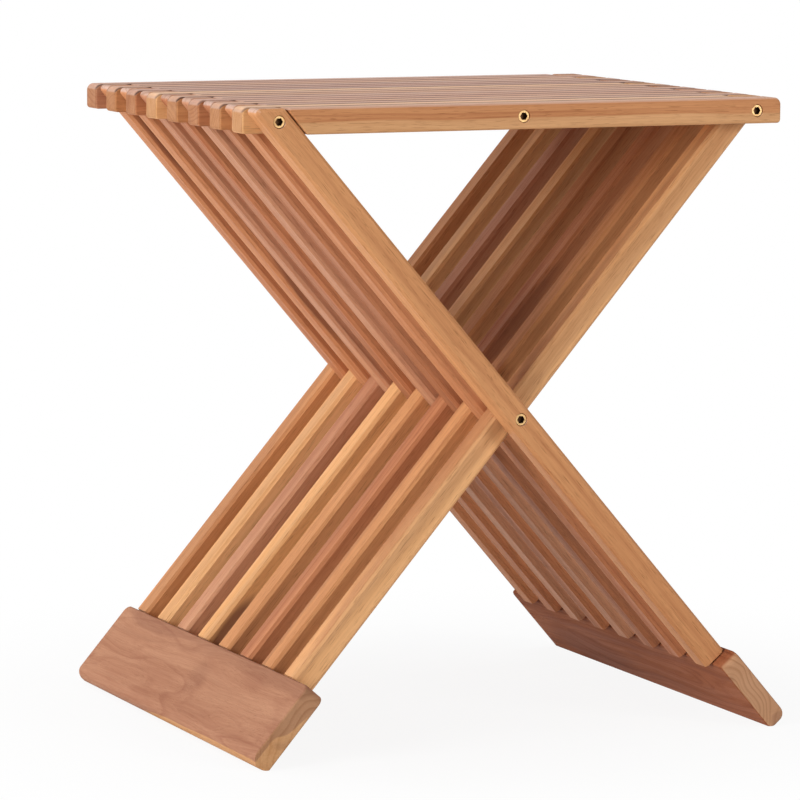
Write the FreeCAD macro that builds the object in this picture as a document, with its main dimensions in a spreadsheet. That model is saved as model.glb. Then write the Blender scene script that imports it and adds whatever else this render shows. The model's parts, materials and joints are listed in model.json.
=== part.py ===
import FreeCAD, Part
import math
import os
import Sketcher

# Slatted folding stool. Sixteen layers of teak slats lie side by side along Y. In each layer one
# leg slat and one seat slat share the same plane. Odd layers, counted from the front, hold a right
# leg slat and a right seat slat, and even layers hold a left leg slat and a left seat slat.
# The left half of the stool is the right half turned by half a turn about the Z axis.
# Frame: X along the seat slats, Y from front to back, Z up, origin on the floor under the middle.

SLATS_PER_FRAME = 8
LAYERS = 2 * SLATS_PER_FRAME
HEXAGON_SIDES = 6
# Length within which two points of a shape count as the same
TOLERANCE = 1e-4

SIZES = {
    # Overall
    "seat_length": 404,
    "seat_depth": 320,
    "stool_height": 450,
    # Slats of the seat and the legs
    "slat_height": 18,
    "layer_gap": 1,
    "stop_gap": 0.8,
    "seat_end_top_radius": 5,
    "seat_end_bottom_radius": 2.5,
    "stop_end_radius": 1.7,
    "leg_top_inner_radius": 4,
    "leg_top_outer_radius": 3,
    "leg_bevel": 2.2,
    "edge_radius": 1.4,
    # Pivots
    "hinge_inset": 19,
    "cross_height": 230,
    "rod_diameter": 6,
    "rod_clearance": 0.08,
    # Brass barrel nuts
    "nut_diameter": 9,
    "nut_clearance": 0.08,
    "nut_length": 12,
    "nut_recess": 0.8,
    "nut_chamfer": 0.5,
    "socket_flats": 5,
    "socket_depth": 3.5,
    "socket_web": 0.6,
    # Feet
    "foot_height": 65,
    "foot_thickness": 16,
    "foot_offset": 3.7,
    "foot_overhang": 12,
    "foot_top_corner": 6,
    "foot_bottom_corner": 2.5,
    "toe_radius": 8.5,
    "shoulder_gap": 1.2,
    "tenon_thickness": 8,
    "tenon_shoulder": 1.7,
    "tenon_length": 32,
    "tenon_clearance": 0.08,
}

# Derived lengths and angles, as expressions of the sheet
SLAT_THICKNESS = f"((sizes.seat_depth - {LAYERS - 1} * sizes.layer_gap) / {LAYERS})"
HALF_THICKNESS = f"({SLAT_THICKNESS} / 2)"
PITCH = f"({SLAT_THICKNESS} + sizes.layer_gap)"
HALF_HEIGHT = "(sizes.slat_height / 2)"
HALF_SEAT = "(sizes.seat_length / 2)"
HINGE_X = f"({HALF_SEAT} - sizes.hinge_inset)"
HINGE_Z = f"(sizes.stool_height - {HALF_HEIGHT})"
LEG_RISE = f"({HINGE_Z} - sizes.cross_height)"
LEG_ANGLE = f"atan2({HINGE_X}; {LEG_RISE})"
LEG_LENGTH = f"sqrt({HINGE_X} ^ 2 + {LEG_RISE} ^ 2)"
LEG_SIN = f"({HINGE_X} / {LEG_LENGTH})"
LEG_COS = f"({LEG_RISE} / {LEG_LENGTH})"
ROD_HOLE_RADIUS = "(sizes.rod_diameter / 2 + sizes.rod_clearance)"
NUT_HOLE_RADIUS = "(sizes.nut_diameter / 2 + sizes.nut_clearance)"
NUT_FLOOR = "(sizes.socket_depth + sizes.socket_web)"
ROD_INSET = f"(sizes.nut_recess + {NUT_FLOOR} + sizes.rod_clearance)"
FOOT_INNER = "(sizes.foot_offset - sizes.foot_thickness / 2)"
FOOT_OUTER = "(sizes.foot_offset + sizes.foot_thickness / 2)"
FOOT_LENGTH = "(sizes.seat_depth + 2 * sizes.foot_overhang)"
TOE_X = f"({FOOT_OUTER} - sizes.toe_radius)"
TOE_Z = f"((sizes.toe_radius - sizes.cross_height - {TOE_X} * {LEG_SIN}) / {LEG_COS})"
FOOT_BOTTOM = f"({TOE_Z} - sizes.toe_radius)"
FOOT_TOP = f"({FOOT_BOTTOM} + sizes.foot_height)"
SHOULDER = f"({FOOT_TOP} + sizes.shoulder_gap)"
HALF_TENON_X = "(sizes.tenon_thickness / 2)"
HALF_TENON_Y = f"({HALF_THICKNESS} - sizes.tenon_shoulder)"

doc = FreeCAD.newDocument("folding_stool")
sheet = doc.addObject("Spreadsheet::Sheet", "sizes")
for row, (alias, number) in enumerate(SIZES.items(), start=1):
    sheet.set(f"A{row}", alias)
    sheet.set(f"B{row}", str(number))
    sheet.setAlias(f"B{row}", alias)
doc.recompute()


def measure(expression):
    """Present value of an expression of the sheet, in millimetres or degrees."""
    result = sheet.evalExpression(expression)
    return float(getattr(result, "Value", result))


def vector(x, y, z):
    return f"create(<<vector>>; {x}; {y}; {z})"


def turn(axis, angle):
    return f"create(<<rotation>>; {vector(*axis)}; {angle})"


def place(obj, base, *turns):
    """Bind an object's placement to a base point and a product of turns."""
    rotation = " * ".join(turns) if turns else turn((0, 0, 1), 0)
    obj.setExpression("Placement", f"create(<<placement>>; {vector(*base)}; {rotation})")


def origin_feature(body, role):
    return next(item for item in body.Origin.OriginFeatures if item.Role == role)


def new_body(label):
    body = doc.addObject("PartDesign::Body", label)
    body.Label = label
    return body


def new_sketch(body, name, role, lift=None):
    """Sketch on one of the body's own origin planes, lifted along the plane's normal."""
    sketch = body.newObject("Sketcher::SketchObject", name)
    sketch.AttachmentSupport = [(origin_feature(body, role), "")]
    sketch.MapMode = "FlatFace"
    if lift:
        sketch.setExpression("AttachmentOffset.Base.z", lift)
    return sketch


def bind(sketch, constraint, expression):
    index = sketch.addConstraint(constraint)
    sketch.setExpression(f"Constraints[{index}]", expression)


def bind_point(sketch, geometry, point, x=None, y=None):
    """Fix a sketch point to expressions of the sheet, measured from the sketch's origin."""
    for kind, expression in (("DistanceX", x), ("DistanceY", y)):
        if expression:
            constraint = Sketcher.Constraint(kind, -1, 1, geometry, point, measure(expression))
            bind(sketch, constraint, expression)


def draw_polygon(sketch, corners):
    """Closed chain of lines through corners given as pairs of expressions."""
    points = [FreeCAD.Vector(measure(x), measure(y), 0) for x, y in corners]
    lines = []
    for start, end in zip(points, points[1:] + points[:1]):
        lines.append(sketch.addGeometry(Part.LineSegment(start, end)))
    for line, following in zip(lines, lines[1:] + lines[:1]):
        sketch.addConstraint(Sketcher.Constraint("Coincident", line, 2, following, 1))
    for line, (x, y) in zip(lines, corners):
        bind_point(sketch, line, 1, x, y)


def draw_box(sketch, x, y, half_x, half_y):
    """Rectangle about a middle point."""
    signs = (("-", "-"), ("+", "-"), ("+", "+"), ("-", "+"))
    draw_polygon(sketch, [(f"({x} {a} {half_x})", f"({y} {b} {half_y})") for a, b in signs])


def draw_circles(sketch, radius, centres):
    for x, y in centres:
        centre = FreeCAD.Vector(measure(x), measure(y), 0)
        circle = sketch.addGeometry(Part.Circle(centre, FreeCAD.Vector(0, 0, 1), measure(radius)))
        bind_point(sketch, circle, 3, x, y)
        bind(sketch, Sketcher.Constraint("Radius", circle, measure(radius)), radius)


def pad_both_ways(body, name, sketch, length):
    pad = body.newObject("PartDesign::Pad", name)
    pad.Profile = sketch
    pad.SideType = "Symmetric"
    pad.setExpression("Length", length)
    doc.recompute()
    return pad


def pocket_through(body, name, sketch):
    pocket = body.newObject("PartDesign::Pocket", name)
    pocket.Profile = sketch
    pocket.SideType = "Symmetric"
    pocket.Type = "ThroughAll"
    doc.recompute()
    return pocket


def pocket_blind(body, name, sketch, depth):
    """Cut from the sketch against its normal, and make sure that something was removed."""
    before = body.Shape.Volume
    pocket = body.newObject("PartDesign::Pocket", name)
    pocket.Profile = sketch
    pocket.setExpression("Length", depth)
    doc.recompute()
    if not body.Shape.Volume < before:
        raise RuntimeError(f"{body.Label}: {name} cuts nothing")
    return pocket


def chosen_edges(tip, chosen):
    """The names of the edges that the test picks out."""
    return [f"Edge{i}" for i, edge in enumerate(tip.Shape.Edges, start=1) if chosen(edge)]


def round_edges(body, name, radius, chosen):
    """Fillet the edges of the body's tip that the test picks out."""
    tip = body.Tip
    fillet = body.newObject("PartDesign::Fillet", name)
    fillet.Base = (tip, chosen_edges(tip, chosen))
    fillet.setExpression("Radius", radius)
    doc.recompute()
    return fillet


def bevel_edges(body, name, size, chosen):
    """Chamfer the edges of the body's tip that the test picks out."""
    tip = body.Tip
    chamfer = body.newObject("PartDesign::Chamfer", name)
    chamfer.Base = (tip, chosen_edges(tip, chosen))
    chamfer.setExpression("Size", size)
    doc.recompute()
    return chamfer


def runs_along(edge, axis):
    """True for a straight edge parallel to one axis of the piece's own frame."""
    spread = edge.Vertexes[-1].Point - edge.Vertexes[0].Point
    return spread.Length > 0 and abs(abs(spread[axis]) - spread.Length) < TOLERANCE


def near(edge, x, z):
    """True where the edge's middle lies on the given line along Y."""
    middle = edge.CenterOfMass
    return abs(middle.x - x) < TOLERANCE and abs(middle.z - z) < TOLERANCE


def on_plane(edge, axis, offset):
    box = edge.BoundBox
    low, high = (box.XMin, box.YMin, box.ZMin)[axis], (box.XMax, box.YMax, box.ZMax)[axis]
    return abs(low - offset) < TOLERANCE and abs(high - offset) < TOLERANCE


def round_corner(body, name, radius, x, z):
    at_x, at_z = measure(x), measure(z)
    round_edges(body, name, radius, lambda edge: runs_along(edge, 1) and near(edge, at_x, at_z))


def on_sides(edge):
    """True for an edge in the outline of a slat's front or back face."""
    side = measure(HALF_THICKNESS)
    return on_plane(edge, 1, side) or on_plane(edge, 1, -side)


def bore_pivots(body, centres, counterbored):
    """Rod holes right through and, in an outermost slat, the nuts' counterbores from the front."""
    holes = new_sketch(body, "RodHoleSketch", "XZ_Plane")
    draw_circles(holes, ROD_HOLE_RADIUS, centres)
    pocket_through(body, "RodHoles", holes)
    if counterbored:
        seats = new_sketch(body, "NutSeatSketch", "XZ_Plane", HALF_THICKNESS)
        draw_circles(seats, NUT_HOLE_RADIUS, centres)
        depth = "sizes.nut_recess + sizes.nut_length + sizes.nut_clearance"
        pocket_blind(body, "NutSeats", seats, depth)


def layer_y(layer):
    """Middle of a layer, counted from 1 at the front."""
    return f"({layer - (LAYERS + 1) / 2} * {PITCH})"


def layer_of(side, number):
    """Right slats fill odd layers from the front, left slats even layers from the back."""
    return 2 * number - 1 if side == "right" else LAYERS + 2 - 2 * number


HALF_TURN = turn((0, 0, 1), 180)
LEAN = turn((0, 1, 0), f"-{LEG_ANGLE}")


def side_turns(side, *turns):
    return turns if side == "right" else (HALF_TURN, *turns)


def make_leg_slat(side, number):
    """Leg slat in its own frame: origin at the crossing pivot, Z up the leg, X to its upper face."""
    body = new_body(f"{side}_leg_slat_{number}")
    rise = "(sizes.stool_height - sizes.cross_height)"
    low_top = f"(({rise} - {HALF_HEIGHT} * {LEG_SIN}) / {LEG_COS})"
    high_top = f"(({rise} + {HALF_HEIGHT} * {LEG_SIN}) / {LEG_COS})"
    outline = new_sketch(body, "OutlineSketch", "XZ_Plane")
    corners = [(f"-{HALF_HEIGHT}", SHOULDER), (HALF_HEIGHT, SHOULDER),
               (HALF_HEIGHT, low_top), (f"-{HALF_HEIGHT}", high_top)]
    draw_polygon(outline, corners)
    pad_both_ways(body, "Slat", outline, SLAT_THICKNESS)
    round_corner(body, "InnerTop", "sizes.leg_top_inner_radius", *corners[2])
    round_corner(body, "OuterTop", "sizes.leg_top_outer_radius", *corners[3])
    shoulder = measure(SHOULDER)
    bevel_edges(body, "BevelledEdges", "sizes.leg_bevel",
                lambda edge: on_sides(edge) and not on_plane(edge, 2, shoulder))
    bore_pivots(body, [("0", "0"), ("0", LEG_LENGTH)], number == 1)

    tenon_sketch = new_sketch(body, "TenonSketch", "XY_Plane", SHOULDER)
    draw_box(tenon_sketch, "sizes.foot_offset", "0", HALF_TENON_X, HALF_TENON_Y)
    tenon = body.newObject("PartDesign::Pad", "Tenon")
    tenon.Profile = tenon_sketch
    tenon.Reversed = True
    tenon.setExpression("Length", "sizes.shoulder_gap + sizes.tenon_length")
    doc.recompute()
    place(body, ("0", layer_y(layer_of(side, number)), "sizes.cross_height"), *side_turns(side, LEAN))
    return body


def make_seat_slat(side, number):
    """Seat slat in its own frame: origin at the middle pivot, X towards its hinge."""
    body = new_body(f"{side}_seat_slat_{number}")
    stop_face = f"({HALF_HEIGHT} + sizes.stop_gap)"

    def stop_x(height):
        return f"(({stop_face} - ({LEG_RISE} + {height}) * {LEG_SIN}) / {LEG_COS})"

    below = f"(-{HALF_HEIGHT})"
    corners = [(stop_x(below), below), (HALF_SEAT, below),
               (HALF_SEAT, HALF_HEIGHT), (stop_x(HALF_HEIGHT), HALF_HEIGHT)]
    outline = new_sketch(body, "OutlineSketch", "XZ_Plane")
    draw_polygon(outline, corners)
    pad_both_ways(body, "Slat", outline, SLAT_THICKNESS)
    radii = ("stop_end_radius", "seat_end_bottom_radius", "seat_end_top_radius", "stop_end_radius")
    for place_name, radius, corner in zip(("StopLow", "EndLow", "EndTop", "StopTop"), radii, corners):
        round_corner(body, place_name, f"sizes.{radius}", *corner)
    round_edges(body, "EasedEdges", "sizes.edge_radius", on_sides)
    bore_pivots(body, [("0", "0"), (HINGE_X, "0")], number == 1)
    place(body, ("0", layer_y(layer_of(side, number)), HINGE_Z), *side_turns(side))
    return body


def make_foot(side):
    """Foot board in the leg's frame, with a floor edge, a round toe and one mortise per slat."""
    body = new_body(f"{side}_foot")
    outline = new_sketch(body, "BoardSketch", "XZ_Plane")
    draw_polygon(outline, [(FOOT_INNER, FOOT_BOTTOM), (FOOT_OUTER, FOOT_BOTTOM),
                           (FOOT_OUTER, FOOT_TOP), (FOOT_INNER, FOOT_TOP)])
    pad_both_ways(body, "Board", outline, FOOT_LENGTH)
    for name, radius, height in (("TopCorners", "sizes.foot_top_corner", FOOT_TOP),
                                 ("BottomCorners", "sizes.foot_bottom_corner", FOOT_BOTTOM)):
        level, end = measure(height), measure(FOOT_LENGTH) / 2
        round_edges(body, name, radius, lambda edge: runs_along(edge, 0)
                    and on_plane(edge, 2, level) and abs(abs(edge.CenterOfMass.y) - end) < TOLERANCE)
    inner, outer = measure(FOOT_INNER), measure(FOOT_OUTER)
    round_edges(body, "EasedEdges", "sizes.edge_radius",
                lambda edge: on_plane(edge, 0, inner) or on_plane(edge, 0, outer))
    cut_floor_edge(body)
    cut_mortises(body)
    place(body, ("0", "0", "sizes.cross_height"), *side_turns(side, LEAN))
    return body


def cut_floor_edge(body):
    """Take off everything below the floor plane and outside the round toe."""
    margin = "sizes.foot_thickness"
    heel_x = f"({FOOT_INNER} - {margin})"
    far_x = f"({FOOT_OUTER} + {margin})"
    heel_z = f"((-sizes.cross_height - {heel_x} * {LEG_SIN}) / {LEG_COS})"
    low_z = f"({FOOT_BOTTOM} - {margin})"
    contact = (f"({TOE_X} - sizes.toe_radius * {LEG_SIN})", f"({TOE_Z} - sizes.toe_radius * {LEG_COS})")
    corners = [(FOOT_OUTER, TOE_Z), (far_x, TOE_Z), (far_x, low_z),
               (heel_x, low_z), (heel_x, heel_z), contact]
    points = [FreeCAD.Vector(measure(x), measure(z), 0) for x, z in corners]
    sketch = new_sketch(body, "FloorSketch", "XZ_Plane")
    lines = [sketch.addGeometry(Part.LineSegment(a, b)) for a, b in zip(points, points[1:])]
    for line, following in zip(lines, lines[1:]):
        sketch.addConstraint(Sketcher.Constraint("Coincident", line, 2, following, 1))
    toe_circle = Part.Circle(FreeCAD.Vector(measure(TOE_X), measure(TOE_Z), 0), FreeCAD.Vector(0, 0, 1),
                             measure("sizes.toe_radius"))
    arc = sketch.addGeometry(Part.ArcOfCircle(toe_circle, toe_circle.parameter(points[-1]), math.tau))
    sketch.addConstraint(Sketcher.Constraint("Coincident", lines[-1], 2, arc, 1))
    sketch.addConstraint(Sketcher.Constraint("Coincident", arc, 2, lines[0], 1))
    bind_point(sketch, arc, 3, TOE_X, TOE_Z)
    bind_point(sketch, lines[0], 1, None, TOE_Z)
    for line, (x, z) in zip(lines[1:], corners[1:]):
        bind_point(sketch, line, 1, x, z)
    bind_point(sketch, lines[-1], 2, *contact)
    pocket_through(body, "FloorEdge", sketch)


def cut_mortises(body):
    """Mortise for the frontmost tenon, repeated for every slat of the leg."""
    sketch = new_sketch(body, "MortiseSketch", "XY_Plane", FOOT_TOP)
    draw_box(sketch, "sizes.foot_offset", layer_y(1), f"({HALF_TENON_X} + sizes.tenon_clearance)",
             f"({HALF_TENON_Y} + sizes.tenon_clearance)")
    mortise = pocket_blind(body, "Mortise", sketch, "sizes.tenon_length + sizes.tenon_clearance")
    repeat_along_y(body, mortise)


def repeat_along_y(body, feature):
    """Repeat a feature in every second layer."""
    pattern = body.newObject("PartDesign::LinearPattern", "EverySecondLayer")
    pattern.Originals = [feature]
    pattern.Direction = (origin_feature(body, "Y_Axis"), [""])
    pattern.Occurrences = SLATS_PER_FRAME
    pattern.setExpression("Length", f"{2 * (SLATS_PER_FRAME - 1)} * {PITCH}")
    body.Tip = pattern
    doc.recompute()


def make_rod(label, x, z):
    """Steel rod through all layers, ending inside the two nuts."""
    rod = doc.addObject("Part::Cylinder", label)
    rod.Label = label
    length = f"(sizes.seat_depth - 2 * {ROD_INSET})"
    rod.setExpression("Radius", "sizes.rod_diameter / 2")
    rod.setExpression("Height", length)
    place(rod, (x, f"({length} / 2)", z), turn((1, 0, 0), 90))
    return rod


def make_pins(label, side):
    """Middle pivot, opened: one short pin in each seat slat of one side."""
    body = new_body(label)
    body.AllowCompound = True
    front = f"({layer_y(1)} - {HALF_THICKNESS} + {ROD_INSET})"
    sketch = new_sketch(body, "PinSketch", "XZ_Plane", f"-{front}")
    draw_circles(sketch, "(sizes.rod_diameter / 2)", [("0", "0")])
    pin = body.newObject("PartDesign::Pad", "Pin")
    pin.Profile = sketch
    pin.Reversed = True
    pin.setExpression("Length", f"{SLAT_THICKNESS} - {ROD_INSET}")
    doc.recompute()
    repeat_along_y(body, pin)
    place(body, ("0", "0", HINGE_Z), *side_turns(side))
    return body


def make_nut(label, x, z, back=False):
    """Barrel nut: turned body with a rod bore behind and a hexagon socket in front, at the origin."""
    body = new_body(label)
    radius, bore = "(sizes.nut_diameter / 2)", ROD_HOLE_RADIUS
    profile = new_sketch(body, "TurnedSketch", "XY_Plane")
    draw_polygon(profile, [("0", "0"), (f"({radius} - sizes.nut_chamfer)", "0"),
                           (radius, "sizes.nut_chamfer"), (radius, "sizes.nut_length"),
                           (bore, "sizes.nut_length"), (bore, NUT_FLOOR), ("0", NUT_FLOOR)])
    turned = body.newObject("PartDesign::Revolution", "Turned")
    turned.Profile = profile
    turned.ReferenceAxis = (origin_feature(body, "Y_Axis"), [""])
    turned.Angle = 360
    doc.recompute()
    socket = new_sketch(body, "SocketSketch", "XZ_Plane")
    corner = f"(sizes.socket_flats / 2 / cos({180 / HEXAGON_SIDES}))"
    angles = [360 / HEXAGON_SIDES * step for step in range(HEXAGON_SIDES)]
    points = [(f"({corner} * cos({angle}))", f"({corner} * sin({angle}))") for angle in angles]
    draw_polygon(socket, points)
    pocket_blind(body, "Socket", socket, "sizes.socket_depth")
    inset = "(sizes.seat_depth / 2 - sizes.nut_recess)"
    if back:
        place(body, (x, inset, z), HALF_TURN)
    else:
        place(body, (x, f"-{inset}", z))
    return body


nodes = []
for frame_side in ("right", "left"):
    for slat_number in range(1, SLATS_PER_FRAME + 1):
        nodes.append(make_leg_slat(frame_side, slat_number))
        nodes.append(make_seat_slat(frame_side, slat_number))
    nodes.append(make_foot(frame_side))

PIVOTS = {"cross": ("0", "sizes.cross_height"), "left_hinge": (f"-{HINGE_X}", HINGE_Z),
          "right_hinge": (HINGE_X, HINGE_Z), "seat_middle": ("0", HINGE_Z)}
for pivot, (pivot_x, pivot_z) in PIVOTS.items():
    if pivot != "seat_middle":
        nodes.append(make_rod(f"{pivot}_rod", pivot_x, pivot_z))
    nodes.append(make_nut(f"{pivot}_front_nut", pivot_x, pivot_z))
    nodes.append(make_nut(f"{pivot}_back_nut", pivot_x, pivot_z, back=True))
for frame_side in ("right", "left"):
    nodes.append(make_pins(f"{frame_side}_seat_pins", frame_side))

doc.recompute()
for item in doc.Objects:
    if "Invalid" in item.State or "Error" in item.State:
        raise RuntimeError(f"{item.Label} failed: {item.State}")
for node in nodes:
    if node.Shape.isNull() or not node.Shape.isValid():
        raise RuntimeError(f"{node.Label} has no valid shape")

os.makedirs("parts", exist_ok=True)
for node in nodes:
    node.Shape.exportStep(f"parts/{node.Label}.step")
    print(f"{node.Label}: {len(node.Shape.Solids)} solid(s), {node.Shape.Volume / 1000:.2f} cm3")
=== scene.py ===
"""Looks of the slatted folding stool: teak, brass and steel on the solids, and a plain studio stage."""

import json
import math

import bpy
from bpy.props import FloatProperty, FloatVectorProperty, PointerProperty
from bpy.types import Operator, Panel, PropertyGroup
from mathutils import Euler, Matrix, Vector


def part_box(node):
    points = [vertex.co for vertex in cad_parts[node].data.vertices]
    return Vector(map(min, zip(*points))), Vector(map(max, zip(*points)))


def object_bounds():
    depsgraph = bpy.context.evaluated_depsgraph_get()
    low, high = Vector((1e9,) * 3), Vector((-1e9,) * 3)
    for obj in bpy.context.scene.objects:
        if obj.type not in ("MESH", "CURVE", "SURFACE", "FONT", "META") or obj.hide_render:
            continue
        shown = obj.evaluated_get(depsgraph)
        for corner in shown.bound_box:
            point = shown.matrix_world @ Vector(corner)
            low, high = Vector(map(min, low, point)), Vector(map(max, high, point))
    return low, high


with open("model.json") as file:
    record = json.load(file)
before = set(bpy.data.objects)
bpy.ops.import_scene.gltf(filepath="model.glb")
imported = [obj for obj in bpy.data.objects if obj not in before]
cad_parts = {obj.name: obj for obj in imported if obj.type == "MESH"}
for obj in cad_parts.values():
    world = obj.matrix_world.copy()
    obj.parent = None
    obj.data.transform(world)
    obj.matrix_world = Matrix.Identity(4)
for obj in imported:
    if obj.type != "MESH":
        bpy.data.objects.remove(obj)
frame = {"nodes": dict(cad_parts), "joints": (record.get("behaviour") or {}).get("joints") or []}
CAD_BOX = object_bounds()

bl_info = {
    "name": "Slatted Folding Stool",
    "version": (1, 0, 0),
    "blender": (4, 5, 0),
    "location": "View3D > Sidebar > Stool",
    "description": "Finishes the stool's slats, feet and pivots, and sets its studio stage",
    "category": "Object",
}

NODES = frame["nodes"]

# Tone of each slat. Right slats count from the front, left slats from the back.
LEG_TONES = {
    "right": ("honey", "amber", "russet", "rose", "amber", "rose", "amber", "amber"),
    "left": ("honey", "straw", "rose", "straw", "honey", "amber", "honey", "honey"),
}
SEAT_TONES = {
    "right": ("honey", "rose", "amber", "rose", "honey", "russet", "rose", "amber"),
    "left": ("rose", "honey", "amber", "straw", "honey", "amber", "honey", "straw"),
}
FOOT_TONES = {"right": "umber", "left": "clay"}

# Strength of the painted shade on the upper half of the left leg slats, where they lie under the seat.
UNDER_SEAT_SHADE_SHARES = (0.55, 0.65, 0.55, 0.65, 0.55, 0.4, 0.3, 0.0)

# Each piece comes from a stretch of the plank that starts at its seed.
LEG_SEEDS = {"right": 0.0, "left": 20.0}
SEAT_SEEDS = {"right": 40.0, "left": 60.0}
FOOT_SEEDS = {"right": 80.0, "left": 82.0}

# Dark patches in the grain, and a painted shadow on the right foot: middle along the piece, across it
# and in its height, half sizes, and strength. Along a leg they count upwards from its middle, along a foot
# from front to back.
BLOTCHES = {
    "right_leg_slat_8": ((0.225, -0.010, 0.0), (0.050, 0.009, 0.007), 0.85),
    "right_leg_slat_7": ((0.080, -0.010, 0.0), (0.062, 0.012, 0.007), 0.80),
    "right_leg_slat_3": ((-0.135, -0.010, 0.0), (0.045, 0.010, 0.006), 0.60),
    "left_leg_slat_4": ((-0.232, -0.010, 0.0), (0.036, 0.010, 0.009), 0.80),
    "left_leg_slat_6": ((0.060, -0.010, 0.004), (0.070, 0.012, 0.008), 0.55),
    # Painted shadow on the back part of the right foot, where the left legs shade it
    "right_foot": ((0.080, -0.004, -0.0165), (0.085, 0.030, 0.030), 0.50),
    "left_foot": ((-0.008, 0.005, 0.004), (0.021, 0.020, 0.022), 0.24),
}
NO_BLOTCH = ((0.0, 0.0, 0.0), (1.0, 1.0, 1.0), 0.0)

# Sapwood of the feet: its direction in the grain's frame, where Y points to the left, and its start.
FOOT_SAPS = {"right": ((0.0, 0.0, 0.0), 1.0), "left": ((0.0, -0.57, -0.82), 0.0035)}
# How far the tree's middle lies inwards and down from the middle of a foot.
FOOT_PITH = 0.030

# Place and width of each lamp, in metres.
LAMPS = {
    "key": ((-3.26, -1.06, 0.95), 1.6),
    "front": ((1.4, -2.5, 1.0), 1.0),
    "rim": ((-2.0, 1.9, 0.7), 1.2),
    "top": ((-0.2, 0.2, 2.4), 1.6),
}

# Corners of the round floor, and how far it lies below the feet, in metres.
FLOOR_CORNERS = 96
FLOOR_CLEARANCE = 0.0002


def colour(label, description, value):
    return FloatVectorProperty(name=label, description=description, default=value, size=3, min=0, max=1,
                               subtype="COLOR")


def length(label, description, value):
    return FloatProperty(name=label, description=description, default=value, min=0, precision=5,
                         subtype="DISTANCE", unit="LENGTH")


def angle(label, description, degrees):
    return FloatProperty(name=label, description=description, default=math.radians(degrees), subtype="ANGLE",
                         unit="ROTATION")


def share(label, description, value):
    return FloatProperty(name=label, description=description, default=value, min=0, max=1, subtype="FACTOR")


def power(label, description, value):
    return FloatProperty(name=label, description=description, default=value, min=0, unit="POWER")


class TeakSettings(PropertyGroup):
    """Colours and grain of the teak."""

    straw_light: colour("Straw, light", "Early wood of the palest slats", (0.90, 0.505, 0.235))
    straw_dark: colour("Straw, dark", "Late wood of the palest slats", (0.7, 0.335, 0.122))
    honey_light: colour("Honey, light", "Early wood of the golden slats", (0.7, 0.335, 0.142))
    honey_dark: colour("Honey, dark", "Late wood of the golden slats", (0.46, 0.178, 0.072))
    amber_light: colour("Amber, light", "Early wood of the orange slats", (0.62, 0.272, 0.122))
    amber_dark: colour("Amber, dark", "Late wood of the orange slats", (0.4, 0.132, 0.06))
    rose_light: colour("Rose, light", "Early wood of the pinkish slats", (0.62, 0.31, 0.172))
    rose_dark: colour("Rose, dark", "Late wood of the pinkish slats", (0.43, 0.17, 0.09))
    russet_light: colour("Russet, light", "Early wood of the reddish slats", (0.50, 0.205, 0.095))
    russet_dark: colour("Russet, dark", "Late wood of the reddish slats", (0.30, 0.10, 0.045))
    umber_light: colour("Umber, light", "Early wood of the darker foot", (0.42, 0.15, 0.068))
    umber_dark: colour("Umber, dark", "Late wood of the darker foot", (0.25, 0.075, 0.033))
    clay_light: colour("Clay, light", "Early wood of the brownish foot", (0.50, 0.256, 0.152))
    clay_dark: colour("Clay, dark", "Late wood of the brownish foot", (0.33, 0.142, 0.084))
    # The streak colour also paints the shadow patch on the right foot
    streak: colour("Streak", "Dark mineral streaks and patches", (0.17, 0.06, 0.04))
    sap: colour("Sapwood", "Light sapwood along one side of some pieces", (0.76, 0.435, 0.215))
    # Pale greyish colour of the seat's upper side, partly wear and partly painted sheen; the leg slats' ends
    # take it too
    weathering_and_sheen: colour("Wear", "Bleached wood of the seat's upper side and the leg slats' ends", (0.64, 0.48, 0.42))
    seat_end: colour("Seat ends", "Sawn ends of the seat slats", (0.37, 0.172, 0.08))
    right_foot_end: colour("Right foot's ends", "Sawn ends of the right foot board", (0.66, 0.385, 0.225))
    left_foot_end: colour("Left foot's ends", "Sawn ends of the left foot board", (0.49, 0.265, 0.145))
    ring_spacing: length("Ring spacing", "Distance between growth rings", 0.0038)
    slat_figure: length("Slat figure", "How far the grain of a slat wanders", 0.012)
    foot_figure: length("Foot figure", "How far the grain of a foot board wanders", 0.055)
    pore_depth: length("Pore depth", "Depth of the open grain", 0.00025)
    roughness: share("Roughness", "Roughness of the oiled surface", 0.46)
    gloss: share("Gloss", "Sheen of the slats", 0.10)
    top_gloss: share("Top gloss", "Sheen of the seat's upper side", 0.45)
    foot_gloss: share("Foot gloss", "Sheen of the feet", 0.02)
    # Reach of the painted shade beside the gaps of the seat
    seam_width: length("Seam width", "Reach of the dust beside the gaps of the seat", 0.0040)


class MetalSettings(PropertyGroup):
    """Colours of the rods and the barrel nuts."""

    brass: colour("Brass", "Turned brass of the barrel nuts", (0.54, 0.35, 0.16))
    brass_stain: colour("Brass stain", "Dulled brass in the corners", (0.34, 0.19, 0.08))
    # The socket colour is painted shade deep in the hexagon sockets, with some dark oxide
    socket: colour("Socket", "Dark inside of the hexagon sockets", (0.06, 0.03, 0.015))
    socket_rim: length("Socket rim", "Depth at which a socket turns dark", 0.0007)
    steel: colour("Steel", "Drawn steel of the rods", (0.60, 0.60, 0.62))
    steel_stain: colour("Steel stain", "Oil on the rods", (0.30, 0.28, 0.26))


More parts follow.
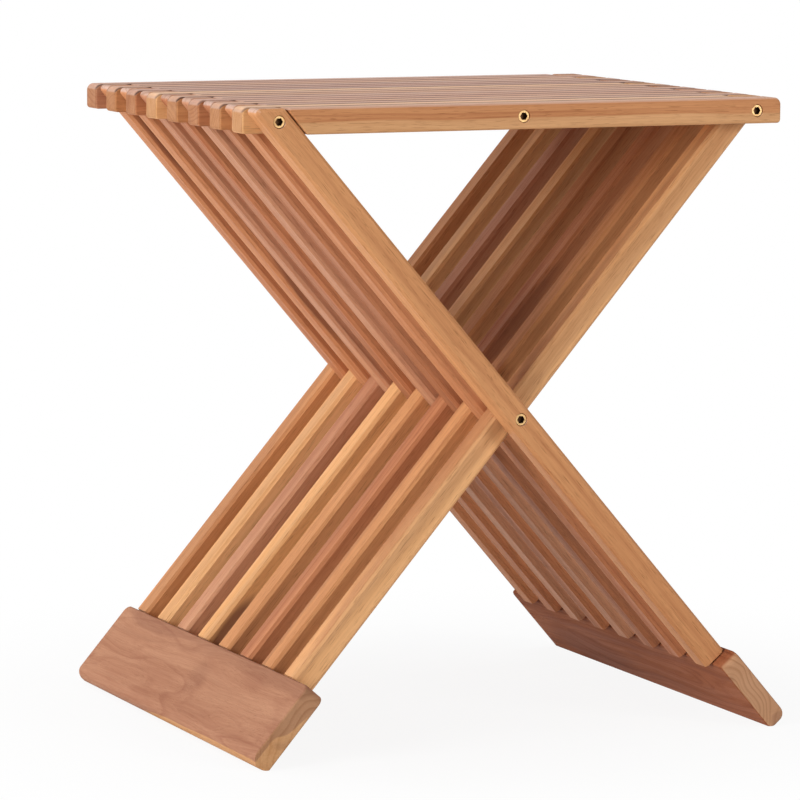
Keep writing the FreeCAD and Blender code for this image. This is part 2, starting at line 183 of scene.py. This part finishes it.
class StageSettings(PropertyGroup):
    """Floor, light and camera."""

    floor_radius: length("Floor radius", "Radius of the round floor", 6.0)
    floor_fade: length("Floor fade", "Distance at which the shadows have faded out", 0.55)
    floor: colour("Floor", "Colour of the floor as the stool sees it", (0.70, 0.70, 0.70))
    floor_shadow: share("Floor shadow", "How strongly the shadow shows on the floor", 0.11)
    ambient: share("Ambient", "Strength of the even light from all round", 0.20)
    key: power("Key light", "Power of the large lamp on the left", 84.0)
    front: power("Front light", "Power of the lamp on the right of the camera", 32.0)
    top: power("Top light", "Power of the lamp above", 17.0)
    rim: power("Rim light", "Power of the lamp behind on the left", 28.0)
    azimuth: angle("Azimuth", "Camera's turn about the stool from the front, negative to the left", -24.45)
    elevation: angle("Elevation", "Camera's height angle", 7.38)
    roll: angle("Roll", "Camera's tilt to one side", 0.35)
    distance: length("Distance", "Distance from the camera to the stool", 3.247)
    focal_length: FloatProperty(name="Focal length", description="Lens, for a 36 mm wide sensor",
                                default=200.8, min=1, unit="CAMERA")
    aim: FloatVectorProperty(name="Aim", description="Point in the middle of the picture",
                             default=(-0.0166, 0.0076, 0.2245), size=3, subtype="TRANSLATION", unit="LENGTH")


def feed(tree, socket, value):
    """Link a socket to another one, or set its value."""
    if isinstance(value, bpy.types.NodeSocket):
        tree.links.new(value, socket)
    else:
        socket.default_value = value


def add(tree, kind, inputs=None, **settings):
    node = tree.nodes.new(kind)
    for name, value in settings.items():
        setattr(node, name, value)
    for key, value in (inputs or {}).items():
        feed(tree, node.inputs[key], value)
    return node


def calc(tree, operation, *values, clamp=False):
    inputs = dict(enumerate(values))
    return add(tree, "ShaderNodeMath", inputs, operation=operation, use_clamp=clamp).outputs[0]


def move(tree, operation, *values):
    return add(tree, "ShaderNodeVectorMath", dict(enumerate(values)), operation=operation).outputs[0]


def measure(tree, vector):
    return add(tree, "ShaderNodeVectorMath", {0: vector}, operation="LENGTH").outputs["Value"]


def spread(tree, value, low, high, to_low=0.0, to_high=1.0):
    """Smooth step from one range of values to another."""
    inputs = {"Value": value, "From Min": low, "From Max": high, "To Min": to_low, "To Max": to_high}
    return add(tree, "ShaderNodeMapRange", inputs, interpolation_type="SMOOTHSTEP").outputs["Result"]


def noise(tree, vector, stretch, detail=2.0, roughness=0.5):
    """Noise node whose cells are drawn out by a stretch, in cells per metre along each axis."""
    inputs = {"Vector": move(tree, "MULTIPLY", vector, stretch), "Scale": 1.0, "Detail": detail,
              "Roughness": roughness}
    return add(tree, "ShaderNodeTexNoise", inputs)


def blend(tree, factor, first, second, blend_type="MIX"):
    node = add(tree, "ShaderNodeMix", data_type="RGBA", blend_type=blend_type)
    for key, value in (("Factor_Float", factor), ("A_Color", first), ("B_Color", second)):
        feed(tree, next(item for item in node.inputs if item.identifier == key), value)
    return next(item for item in node.outputs if item.identifier == "Result_Color")


def shaded(tree, factor, value, tint):
    """Multiply a colour by a tint where the factor says so."""
    return blend(tree, factor, value, (*tint, 1.0), "MULTIPLY")


def ramp(tree, factor, stops):
    node = add(tree, "ShaderNodeValToRGB", {"Fac": factor})
    elements = node.color_ramp.elements
    for position, level in stops[:-2]:
        elements.new(position)
    for element, (position, level) in zip(elements, stops):
        element.position = position
        element.color = (level, level, level, 1.0)
    return node.outputs["Color"]


TEAK_INPUTS = (
    ("Turn", "NodeSocketVector"), ("Shift", "NodeSocketVector"), ("Pith", "NodeSocketVector"),
    ("Seed", "NodeSocketFloat"), ("Light", "NodeSocketColor"), ("Dark", "NodeSocketColor"),
    ("Streak", "NodeSocketColor"), ("Streak Share", "NodeSocketFloat"), ("Sap", "NodeSocketColor"),
    ("Sap Side", "NodeSocketVector"), ("Sap Start", "NodeSocketFloat"), ("Figure", "NodeSocketFloat"),
    ("Ring Spacing", "NodeSocketFloat"), ("Pore Depth", "NodeSocketFloat"), ("Roughness", "NodeSocketFloat"),
    ("End", "NodeSocketColor"), ("End Share", "NodeSocketFloat"), ("Blotch Place", "NodeSocketVector"),
    ("Blotch Size", "NodeSocketVector"), ("Blotch Share", "NodeSocketFloat"),
    ("Seam Start", "NodeSocketFloat"), ("Seam Width", "NodeSocketFloat"),
    ("Front Seam", "NodeSocketFloat"), ("Back Seam", "NodeSocketFloat"),
    ("Gloss", "NodeSocketFloat"), ("Top Gloss", "NodeSocketFloat"), ("Ring Share", "NodeSocketFloat"),
    ("Pore Share", "NodeSocketFloat"), ("Heart Share", "NodeSocketFloat"),
    ("Wear", "NodeSocketColor"), ("Wear Share", "NodeSocketFloat"),
)
TEAK_OUTPUTS = (("Color", "NodeSocketColor"), ("Roughness", "NodeSocketFloat"), ("Gloss", "NodeSocketFloat"),
                ("Normal", "NodeSocketVector"))

# Steps between the stretches of plank that two seeds in a row give.
SEED_STEP = (3.7, 1.31, 2.17)

# Marks in the teak: cells of noise per metre along the grain and across it.
CELLS = {
    "wander": (3.5, 15.0, 15.0),
    "quiver": (22.0, 95.0, 95.0),
    "patch": (2.4, 17.0, 17.0),
    "band": (3.0, 130.0, 130.0),
    "fibre": (15.0, 900.0, 900.0),
    "pore": (75.0, 2300.0, 2300.0),
    "streak": (1.3, 48.0, 48.0),
    # Unevenness of the painted shade beside the seat's gaps
    "dust": (11.0, 25.0, 25.0),
}
QUIVER_REACH = 0.0016

# Levels of the noise between which a mark grows to its full strength.
LEVELS = {
    "patch": (0.34, 0.66),
    "band": (0.32, 0.68),
    "pore": (0.58, 0.72),
    "streak": (0.55, 0.68),
    "dust": (0.36, 0.58),
}

# Growth rings: tone from one ring to the next, cells of noise per metre of radius in their widths,
# the most that this shifts them, in rings, and the strength of the faintest ring.
RING_PROFILE = ((0.0, 0.5), (0.10, 0.0), (0.55, 0.12), (0.90, 1.0), (1.0, 0.5))
RING_CELLS = 60.0
RING_SHIFT = 3.0
FAINTEST_RING = 0.25

# Share of late wood in plain teak, and what each mark adds to it, to the roughness and to the height.
PLAIN_SHADE = 0.04
MARK_SHADES = {"patch": 0.36, "band": 0.30, "fibre": 0.85}
MARK_ROUGHNESS = {"band": 0.12, "pore": 0.15, "end": 0.12, "dust": 0.35}
MARK_HEIGHTS = {"fibre": 0.5, "pore": -0.8, "ring": -0.25}

# Tints that the marks lay on the wood.
TINTS = {
    "end_ring": (0.70, 0.62, 0.55),
    "end_patch": (0.86, 0.80, 0.74),
    "sap_shade": (0.72, 0.62, 0.52),
    # Tint of the painted shade under the seat
    "under_seat_shade": (0.60, 0.55, 0.54),
    "pore": (0.45, 0.36, 0.30),
    # Tint of the painted shade beside the seat's gaps
    "dust": (0.12, 0.08, 0.07),
}

# How squarely a face points along the grain to count as sawn end, and up to count as upper side.
END_FACING = (0.55, 0.9)
UP_FACING = (0.15, 0.45)

# Width of the sapwood's soft border and its strength, and where along a piece the painted shade under the
# seat starts.
SAP_BORDER = 0.0012
SAP_STRENGTH = 0.8
UNDER_SEAT_SHADE_START = (-0.01, 0.06)


def grain_mark(tree, kind, vector, detail=2.0, least=0.0):
    """Noise of one kind of mark, from its least strength to its full one."""
    cells = noise(tree, vector, CELLS[kind], detail).outputs["Fac"]
    return spread(tree, cells, *LEVELS[kind], least, 1.0)


def grain_wander(tree, given, plank):
    """Slow and quick wandering of the grain."""
    middle = (0.5, 0.5, 0.5)
    slow = move(tree, "SUBTRACT", noise(tree, plank, CELLS["wander"]).outputs["Color"], middle)
    slow = move(tree, "MULTIPLY", slow, given["Figure"])
    quick = move(tree, "SUBTRACT", noise(tree, plank, CELLS["quiver"]).outputs["Color"], middle)
    quick = move(tree, "MULTIPLY", quick, (0.0, QUIVER_REACH, QUIVER_REACH))
    return move(tree, "ADD", slow, quick)


def growth_rings(tree, given, bent):
    """Growth rings about the pith, uneven in width and strength, and the place within a ring."""
    across = move(tree, "MULTIPLY", move(tree, "SUBTRACT", bent, given["Pith"]), (0.0, 1.0, 1.0))
    radius = measure(tree, across)
    width_place = calc(tree, "MULTIPLY_ADD", radius, RING_CELLS, given["Seed"])
    width_inputs = {"W": width_place, "Scale": 1.0, "Detail": 1.0}
    width_noise = add(tree, "ShaderNodeTexNoise", width_inputs, noise_dimensions="1D").outputs[0]
    phase = calc(tree, "DIVIDE", radius, given["Ring Spacing"])
    phase = calc(tree, "MULTIPLY_ADD", width_noise, RING_SHIFT, phase)
    early = calc(tree, "FRACT", phase)
    ring_number = calc(tree, "ADD", calc(tree, "FLOOR", phase), given["Seed"])
    chance = add(tree, "ShaderNodeTexWhiteNoise", {"W": ring_number}, noise_dimensions="1D")
    strength = calc(tree, "MULTIPLY_ADD", chance.outputs["Value"], 1.0 - FAINTEST_RING, FAINTEST_RING)
    return calc(tree, "MULTIPLY", ramp(tree, early, RING_PROFILE), strength), early


def dark_blotch(tree, given, bent, bands):
    """One dark patch with a wandering outline."""
    offset = move(tree, "SUBTRACT", bent, given["Blotch Place"])
    reach = measure(tree, move(tree, "DIVIDE", offset, given["Blotch Size"]))
    blotch = spread(tree, reach, 0.45, 1.0, 1.0, 0.0)
    blotch = calc(tree, "MULTIPLY", blotch, given["Blotch Share"])
    return calc(tree, "MULTIPLY", blotch, spread(tree, bands, 0.0, 1.0, 0.7, 1.0))


def seam_painted_gap_shade(tree, given, grain, plank, upward):
    """Painted shade on the upper side, beside the gaps to the neighbouring slats."""
    across_place = add(tree, "ShaderNodeSeparateXYZ", {0: grain}).outputs[1]
    start = given["Seam Start"]
    end = calc(tree, "ADD", start, given["Seam Width"])
    back = calc(tree, "MULTIPLY", spread(tree, across_place, start, end), given["Back Seam"])
    mirrored = calc(tree, "MULTIPLY", across_place, -1.0)
    front = calc(tree, "MULTIPLY", spread(tree, mirrored, start, end), given["Front Seam"])
    seam = calc(tree, "MAXIMUM", front, back)
    uneven = grain_mark(tree, "dust", plank, least=0.6)
    return calc(tree, "MULTIPLY", calc(tree, "MULTIPLY", seam, upward), uneven)


def teak_group():
    """Solid teak in the grain's own frame, X along the grain: rings about the pith, fibres and pores."""
    tree = bpy.data.node_groups.new("teak_grain", "ShaderNodeTree")
    for name, kind in TEAK_INPUTS:
        tree.interface.new_socket(name, in_out="INPUT", socket_type=kind)
    for name, kind in TEAK_OUTPUTS:
        tree.interface.new_socket(name, in_out="OUTPUT", socket_type=kind)
    given = add(tree, "NodeGroupInput").outputs
    place = add(tree, "ShaderNodeTexCoord").outputs
    grain = add(tree, "ShaderNodeMapping", {"Vector": place["Object"], "Location": given["Shift"],
                                            "Rotation": given["Turn"]}).outputs[0]
    # Every piece takes its own stretch of an endless plank
    seed_step = move(tree, "MULTIPLY", given["Seed"], SEED_STEP)
    plank = move(tree, "ADD", grain, seed_step)

    wander = grain_wander(tree, given, plank)
    bent = move(tree, "ADD", grain, wander)
    bent_plank = move(tree, "ADD", plank, wander)
    ring, early = growth_rings(tree, given, bent)

    # Colour patches, bands, fibres, pores and mineral streaks
    patch = grain_mark(tree, "patch", plank)
    bands = grain_mark(tree, "band", bent_plank, 3.0)
    fibre = noise(tree, bent_plank, CELLS["fibre"], 3.0, 0.6).outputs["Fac"]
    pores = grain_mark(tree, "pore", bent_plank, 1.0)
    pores = calc(tree, "MULTIPLY", pores, calc(tree, "MULTIPLY_ADD", early, -0.6, 1.0))
    streak = grain_mark(tree, "streak", bent_plank, 1.0)
    streak = calc(tree, "MULTIPLY", streak, given["Streak Share"])

    # The darker a place, the more of the late wood's colour it has
    shade = calc(tree, "MULTIPLY_ADD", patch, MARK_SHADES["patch"], PLAIN_SHADE)
    shade = calc(tree, "MULTIPLY_ADD", ring, given["Ring Share"], shade)
    shade = calc(tree, "MULTIPLY_ADD", bands, MARK_SHADES["band"], shade)
    fibre_swing = calc(tree, "SUBTRACT", fibre, 0.5)
    shade = calc(tree, "MULTIPLY_ADD", fibre_swing, MARK_SHADES["fibre"], shade, clamp=True)
    wood = blend(tree, shade, given["Light"], given["Dark"])

    # Sawn ends show the rings in a tone of their own
    facing = add(tree, "ShaderNodeVectorRotate", {"Vector": place["Normal"], "Rotation": given["Turn"]},
                 rotation_type="EULER_XYZ").outputs[0]
    facing_parts = add(tree, "ShaderNodeSeparateXYZ", {0: facing}).outputs
    end_grain = spread(tree, calc(tree, "ABSOLUTE", facing_parts[0]), *END_FACING)
    end_tone = shaded(tree, ring, given["End"], TINTS["end_ring"])
    end_tone = shaded(tree, patch, end_tone, TINTS["end_patch"])
    wood = blend(tree, calc(tree, "MULTIPLY", end_grain, given["End Share"]), wood, end_tone)

    # Sapwood on the far side of a plane that wanders with the grain
    sap_reach = add(tree, "ShaderNodeVectorMath", {0: bent, 1: given["Sap Side"]}, operation="DOT_PRODUCT")
    sap_edge = calc(tree, "SUBTRACT", sap_reach.outputs["Value"], given["Sap Start"])
    sapwood = calc(tree, "MULTIPLY", spread(tree, sap_edge, 0.0, SAP_BORDER), SAP_STRENGTH)
    sap_tone = shaded(tree, shade, given["Sap"], TINTS["sap_shade"])
    wood = blend(tree, sapwood, wood, sap_tone)

    # Painted shade towards the upper end, where the left leg slats lie under the seat
    along = add(tree, "ShaderNodeSeparateXYZ", {0: bent}).outputs[0]
    under_seat_shade = calc(tree, "MULTIPLY", spread(tree, along, *UNDER_SEAT_SHADE_START), given["Heart Share"])
    wood = shaded(tree, under_seat_shade, wood, TINTS["under_seat_shade"])

    # Mineral streaks, the dark patch, which on the right foot is painted shadow, and the pores
    blotch = dark_blotch(tree, given, bent, bands)
    wood = blend(tree, calc(tree, "MAXIMUM", streak, blotch), wood, given["Streak"])
    wood = shaded(tree, calc(tree, "MULTIPLY", pores, given["Pore Share"]), wood, TINTS["pore"])

    # Pale greyish tint where the piece faces up, partly bleaching by wear and partly painted sheen
    upward = spread(tree, facing_parts[2], *UP_FACING)
    wood = blend(tree, calc(tree, "MULTIPLY", upward, given["Wear Share"]), wood, given["Wear"])

    # Painted shade beside the gaps of the seat
    seam = seam_painted_gap_shade(tree, given, grain, plank, upward)
    wood = shaded(tree, seam, wood, TINTS["dust"])

    rough = given["Roughness"]
    for kind, mark in (("band", bands), ("pore", pores), ("end", end_grain), ("dust", seam)):
        rough = calc(tree, "MULTIPLY_ADD", mark, MARK_ROUGHNESS[kind], rough)
    height = calc(tree, "MULTIPLY", fibre, MARK_HEIGHTS["fibre"])
    height = calc(tree, "MULTIPLY_ADD", pores, MARK_HEIGHTS["pore"], height)
    height = calc(tree, "MULTIPLY_ADD", ring, MARK_HEIGHTS["ring"], height)
    bump = add(tree, "ShaderNodeBump", {"Height": height, "Strength": 0.5, "Distance": given["Pore Depth"]})
    more_gloss = calc(tree, "SUBTRACT", given["Top Gloss"], given["Gloss"])
    gloss = calc(tree, "MULTIPLY_ADD", upward, more_gloss, given["Gloss"])
    result = add(tree, "NodeGroupOutput")
    for name, value in (("Color", wood), ("Roughness", rough), ("Gloss", gloss), ("Normal", bump.outputs[0])):
        feed(tree, result.inputs[name], value)
    return tree


def new_material(name):
    material = bpy.data.materials.new(name)
    material.use_nodes = True
    tree = material.node_tree
    return material, tree, tree.nodes["Principled BSDF"]


def centre(node):
    low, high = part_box(node)
    return (low + high) / 2


def teak_material(node, tone, seed, turn, pith, figure, gloss, end, end_share, top_gloss=None,
                  ring_share=0.34, pore_share=0.65, under_seat_shade_share=0.0, weathering_and_sheen_share=0.0, streak_share=0.25,
                  sap=None, sap_side=(0, 0, 0), sap_start=1.0, seams=(0.0, 0.0), seam_start=1.0):
    """Teak of one piece, with the grain turned and placed as the piece was sawn."""
    teak = bpy.context.scene.stool_teak
    blotch_place, blotch_size, blotch_share = BLOTCHES.get(node, NO_BLOTCH)
    material, tree, shader = new_material(f"teak_{node}")
    rotation = Euler(turn)
    inputs = {
        "Turn": rotation, "Shift": -(rotation.to_matrix() @ centre(node)), "Pith": pith, "Seed": seed,
        "Light": (*getattr(teak, f"{tone}_light"), 1.0), "Dark": (*getattr(teak, f"{tone}_dark"), 1.0),
        "Streak": (*teak.streak, 1.0), "Streak Share": streak_share, "Sap": (*(sap or teak.sap), 1.0),
        "Sap Side": sap_side, "Sap Start": sap_start, "Figure": figure, "Ring Spacing": teak.ring_spacing,
        "Pore Depth": teak.pore_depth, "Roughness": teak.roughness, "End": (*end, 1.0),
        "End Share": end_share, "Blotch Place": blotch_place, "Blotch Size": blotch_size,
        "Blotch Share": blotch_share, "Seam Start": seam_start, "Seam Width": teak.seam_width,
        "Front Seam": seams[0], "Back Seam": seams[1], "Gloss": gloss,
        "Top Gloss": gloss if top_gloss is None else top_gloss, "Ring Share": ring_share,
        "Pore Share": pore_share, "Heart Share": under_seat_shade_share, "Wear": (*teak.weathering_and_sheen, 1.0),
        "Wear Share": weathering_and_sheen_share,
    }
    group = bpy.data.node_groups.get("teak_grain") or teak_group()
    grain = add(tree, "ShaderNodeGroup", inputs, node_tree=group)
    targets = {"Color": "Base Color", "Roughness": "Roughness", "Normal": "Normal"}
    if top_gloss is None:
        shader.inputs["Specular IOR Level"].default_value = gloss
    else:
        targets["Gloss"] = "Specular IOR Level"
    for name, target in targets.items():
        tree.links.new(grain.outputs[name], shader.inputs[target])
    return material


def dress(node, material):
    NODES[node].material_slots[0].material = material


def pith_of(seed):
    """Place of the tree's middle from the middle of a slat: about 50 mm away, in a direction of its own."""
    around, away = 2.4 * seed, 0.050 + 0.022 * math.sin(1.7 * seed)
    return (0.0, away * math.cos(around), away * math.sin(around))


def leg_turn(side):
    """Turn that lays a leg's length along X, worked out from the hinge and the crossing."""
    fold = next(joint for joint in frame["joints"] if joint["name"] == "leg_fold")
    hinge = next(joint for joint in frame["joints"] if joint["name"] == "right_seat_fold")
    lean = math.atan2(hinge["pos_m"][0] - fold["pos_m"][0], hinge["pos_m"][2] - fold["pos_m"][2])
    return (0.0, math.pi / 2 + (lean if side == "right" else -lean), 0.0)


class STOOL_OT_finish_legs(Operator):
    """Give every leg slat its own piece of teak"""

    bl_idname = "stool.finish_legs"
    bl_label = "Finish Leg Slats"

    def execute(self, context):
        teak = context.scene.stool_teak
        for side, tones in LEG_TONES.items():
            for number, tone in enumerate(tones, start=1):
                seed = number + LEG_SEEDS[side]
                node = f"{side}_leg_slat_{number}"
                looks = {"figure": teak.slat_figure, "end": teak.weathering_and_sheen, "end_share": 0.7,
                         "under_seat_shade_share": 0.0 if side == "right" else UNDER_SEAT_SHADE_SHARES[number - 1]}
                if node == "left_leg_slat_8":
                    # The front left slat is straight sapwood but for its upper face
                    looks.update(figure=teak.slat_figure / 3, sap=teak.straw_light, sap_side=(0, 0, -1),
                                 sap_start=-0.0102)
                dress(node, teak_material(node, tone, seed, leg_turn(side), pith_of(seed), gloss=teak.gloss,
                                          **looks))
        return {"FINISHED"}


class STOOL_OT_finish_seat(Operator):
    """Give every seat slat its own piece of teak"""

    bl_idname = "stool.finish_seat"
    bl_label = "Finish Seat Slats"

    def execute(self, context):
        teak = context.scene.stool_teak
        for side, tones in SEAT_TONES.items():
            for number, tone in enumerate(tones, start=1):
                seed = number + SEAT_SEEDS[side]
                node = f"{side}_seat_slat_{number}"
                low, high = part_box(node)
                front, back = node == "right_seat_slat_1", node == "left_seat_slat_1"
                looks = {"end": teak.seat_end, "end_share": 0.7, "weathering_and_sheen_share": 0.28, "streak_share": 0.15,
                         "seams": (0.0 if front else 1.0, 0.0 if back else 1.0),
                         "seam_start": (high.y - low.y) / 2 - teak.seam_width}
                if front:
                    looks.update(sap_side=(0, 0, -1), sap_start=0.001)
                dress(node, teak_material(node, tone, seed, (0, 0, 0), pith_of(seed), teak.slat_figure,
                                          teak.gloss, top_gloss=teak.top_gloss, **looks))
        return {"FINISHED"}


class STOOL_OT_finish_feet(Operator):
    """Give both foot boards flat-sawn teak with the grain along the board"""

    bl_idname = "stool.finish_feet"
    bl_label = "Finish Feet"

    def execute(self, context):
        teak = context.scene.stool_teak
        along_board = (0.0, 0.0, -math.pi / 2)
        for side, tone in FOOT_TONES.items():
            node = f"{side}_foot"
            outward = -1.0 if side == "right" else 1.0
            pith = (0.0, -FOOT_PITH * outward, -FOOT_PITH)
            sap_side, sap_start = FOOT_SAPS[side]
            looks = {"ring_share": 0.60, "pore_share": 0.25, "streak_share": 0.3, "sap_side": sap_side,
                     "sap_start": sap_start, "end": getattr(teak, f"{side}_foot_end"), "end_share": 0.85}
            dress(node, teak_material(node, tone, FOOT_SEEDS[side], along_board, pith, teak.foot_figure,
                                      teak.foot_gloss, **looks))
        return {"FINISHED"}


def metal_material(name, bright, stain, roughness, stretch, socket=None, socket_start=0.0):
    """Turned or drawn metal with fine tool marks, a dulled stain and, on nuts, painted shade in the socket.
    """
    material, tree, shader = new_material(name)
    place = add(tree, "ShaderNodeTexCoord").outputs["Object"]
    marks = noise(tree, place, stretch, 2.0).outputs["Fac"]
    clouds = spread(tree, noise(tree, place, (320.0, 320.0, 320.0), 3.0).outputs["Fac"], 0.42, 0.72)
    tone = blend(tree, clouds, (*bright, 1.0), (*stain, 1.0))
    # Painted shade: everything deeper than the socket's rim turns dark
    if socket:
        depth = calc(tree, "ABSOLUTE", add(tree, "ShaderNodeSeparateXYZ", {0: place}).outputs[1])
        inside = spread(tree, depth, socket_start - 0.0002, socket_start, 1.0, 0.0)
        tone = blend(tree, inside, tone, (*socket, 1.0))
    feed(tree, shader.inputs["Base Color"], tone)
    feed(tree, shader.inputs["Roughness"], spread(tree, marks, 0.3, 0.7, roughness, roughness + 0.18))
    bump = add(tree, "ShaderNodeBump", {"Height": marks, "Strength": 0.25, "Distance": 0.00005})
    feed(tree, shader.inputs["Normal"], bump.outputs[0])
    shader.inputs["Metallic"].default_value = 1.0
    return material


class STOOL_OT_finish_metal(Operator):
    """Give the barrel nuts turned brass and the rods and pins drawn steel"""

    bl_idname = "stool.finish_metal"
    bl_label = "Finish Rods and Nuts"

    def execute(self, context):
        metal = context.scene.stool_metal
        nut_face = -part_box("cross_front_nut")[0].y
        brass = metal_material("turned_brass", metal.brass, metal.brass_stain, 0.36, (900.0, 2600.0, 900.0),
                               metal.socket, nut_face - metal.socket_rim)
        steel = metal_material("drawn_steel", metal.steel, metal.steel_stain, 0.32, (2400.0, 30.0, 2400.0))
        for node in NODES:
            if node.endswith("_nut"):
                dress(node, brass)
            elif node.endswith(("_rod", "_pins")):
                dress(node, steel)
        return {"FINISHED"}


def seen_directly(tree):
    """One for rays that come from the camera, a reflection or glass, and none for the light on the stool."""
    rays = add(tree, "ShaderNodeLightPath").outputs
    direct = calc(tree, "MAXIMUM", rays["Is Camera Ray"], rays["Is Glossy Ray"])
    return calc(tree, "MAXIMUM", direct, rays["Is Transmission Ray"])


def make_floor(stage):
    """Round pale floor that keeps the shadow near the stool and fades into the white background."""
    mesh = bpy.data.meshes.new("floor")
    turns = [math.tau * corner / FLOOR_CORNERS for corner in range(FLOOR_CORNERS)]
    rim = [(stage.floor_radius * math.cos(turn), stage.floor_radius * math.sin(turn), 0.0) for turn in turns]
    mesh.from_pydata(rim, [], [range(FLOOR_CORNERS)])
    floor = bpy.data.objects.new("floor", mesh)
    bpy.context.scene.collection.objects.link(floor)
    floor.location.z = CAD_BOX[0][2] - FLOOR_CLEARANCE

    material = bpy.data.materials.new("pale_floor")
    material.use_nodes = True
    tree = material.node_tree
    tree.nodes.clear()
    matt = add(tree, "ShaderNodeBsdfDiffuse", {"Color": (*stage.floor, 1.0)})
    shadow_tone = add(tree, "ShaderNodeBsdfDiffuse", {"Color": (0.95, 0.95, 0.95, 1.0)})
    white = add(tree, "ShaderNodeEmission", {"Color": (1.0, 1.0, 1.0, 1.0), "Strength": 1.0})
    away = measure(tree, add(tree, "ShaderNodeTexCoord").outputs["Object"])
    fade = spread(tree, away, stage.floor_fade / 4, stage.floor_fade, 1.0 - stage.floor_shadow, 1.0)
    shown = add(tree, "ShaderNodeMixShader", {0: fade, 1: shadow_tone.outputs[0], 2: white.outputs[0]})
    choices = {0: seen_directly(tree), 1: matt.outputs[0], 2: shown.outputs[0]}
    mixed = add(tree, "ShaderNodeMixShader", choices)
    output = add(tree, "ShaderNodeOutputMaterial")
    tree.links.new(mixed.outputs[0], output.inputs["Surface"])
    mesh.materials.append(material)


def make_world(stage):
    """Even light all round, and plain white where it is seen directly."""
    world = bpy.data.worlds.new("studio")
    bpy.context.scene.world = world
    world.use_nodes = True
    tree = world.node_tree
    tree.nodes.clear()
    even = add(tree, "ShaderNodeBackground", {"Color": (1.0, 1.0, 1.0, 1.0), "Strength": stage.ambient})
    white = add(tree, "ShaderNodeBackground", {"Color": (1.0, 1.0, 1.0, 1.0), "Strength": 1.0})
    choices = {0: seen_directly(tree), 1: even.outputs[0], 2: white.outputs[0]}
    mixed = add(tree, "ShaderNodeMixShader", choices)
    output = add(tree, "ShaderNodeOutputWorld")
    tree.links.new(mixed.outputs[0], output.inputs["Surface"])


def make_lamp(name, place, watts, size):
    """Square soft lamp that points at the middle of the stool."""
    lamp = bpy.data.lights.new(name, "AREA")
    lamp.energy = watts
    lamp.size = size
    holder = bpy.data.objects.new(name, lamp)
    bpy.context.scene.collection.objects.link(holder)
    target = (Vector(CAD_BOX[0]) + Vector(CAD_BOX[1])) / 2
    holder.location = place
    holder.rotation_euler = (target - Vector(place)).to_track_quat("-Z", "Y").to_euler()


def make_camera(stage):
    data = bpy.data.cameras.new("camera")
    data.lens = stage.focal_length
    data.sensor_width = 36.0
    data.sensor_fit = "HORIZONTAL"
    camera = bpy.data.objects.new("camera", data)
    bpy.context.scene.collection.objects.link(camera)
    level = math.cos(stage.elevation)
    back = Vector((math.sin(stage.azimuth) * level, -math.cos(stage.azimuth) * level,
                   math.sin(stage.elevation)))
    right = Vector((math.cos(stage.azimuth), math.sin(stage.azimuth), 0.0))
    upright = Matrix((right, back.cross(right), back)).transposed()
    pose = upright @ Matrix.Rotation(stage.roll, 3, "Z")
    camera.matrix_world = Matrix.Translation(Vector(stage.aim) + back * stage.distance) @ pose.to_4x4()
    bpy.context.scene.camera = camera


class STOOL_OT_set_stage(Operator):
    """Lay the floor, hang the lamps and stand the camera where the photograph was taken"""

    bl_idname = "stool.set_stage"
    bl_label = "Set Stage"

    def execute(self, context):
        stage = context.scene.stool_stage
        make_floor(stage)
        make_world(stage)
        for name, (place, width) in LAMPS.items():
            make_lamp(f"{name}_lamp", place, getattr(stage, name), width)
        make_camera(stage)
        context.scene.view_settings.view_transform = "Standard"
        return {"FINISHED"}


OPERATORS = (STOOL_OT_finish_legs, STOOL_OT_finish_seat, STOOL_OT_finish_feet, STOOL_OT_finish_metal,
             STOOL_OT_set_stage)
SETTINGS = {"stool_teak": TeakSettings, "stool_metal": MetalSettings, "stool_stage": StageSettings}


class STOOL_PT_sidebar(Panel):
    """Steps and settings of the stool"""

    bl_idname = "STOOL_PT_sidebar"
    bl_label = "Folding Stool"
    bl_space_type = "VIEW_3D"
    bl_region_type = "UI"
    bl_category = "Stool"

    def draw(self, context):
        for operator in OPERATORS:
            self.layout.operator(operator.bl_idname)
        for name, group in SETTINGS.items():
            box = self.layout.box()
            for entry in group.__annotations__:
                box.prop(getattr(context.scene, name), entry)


CLASSES = (*SETTINGS.values(), *OPERATORS, STOOL_PT_sidebar)


def register():
    for cls in CLASSES:
        bpy.utils.register_class(cls)
    for name, group in SETTINGS.items():
        setattr(bpy.types.Scene, name, PointerProperty(type=group))


def unregister():
    for name in SETTINGS:
        delattr(bpy.types.Scene, name)
    for cls in reversed(CLASSES):
        bpy.utils.unregister_class(cls)


def main():
    register()
    bpy.ops.stool.finish_legs()
    bpy.ops.stool.finish_seat()
    bpy.ops.stool.finish_feet()
    bpy.ops.stool.finish_metal()
    bpy.ops.stool.set_stage()


if __name__ == "__main__":
    main()
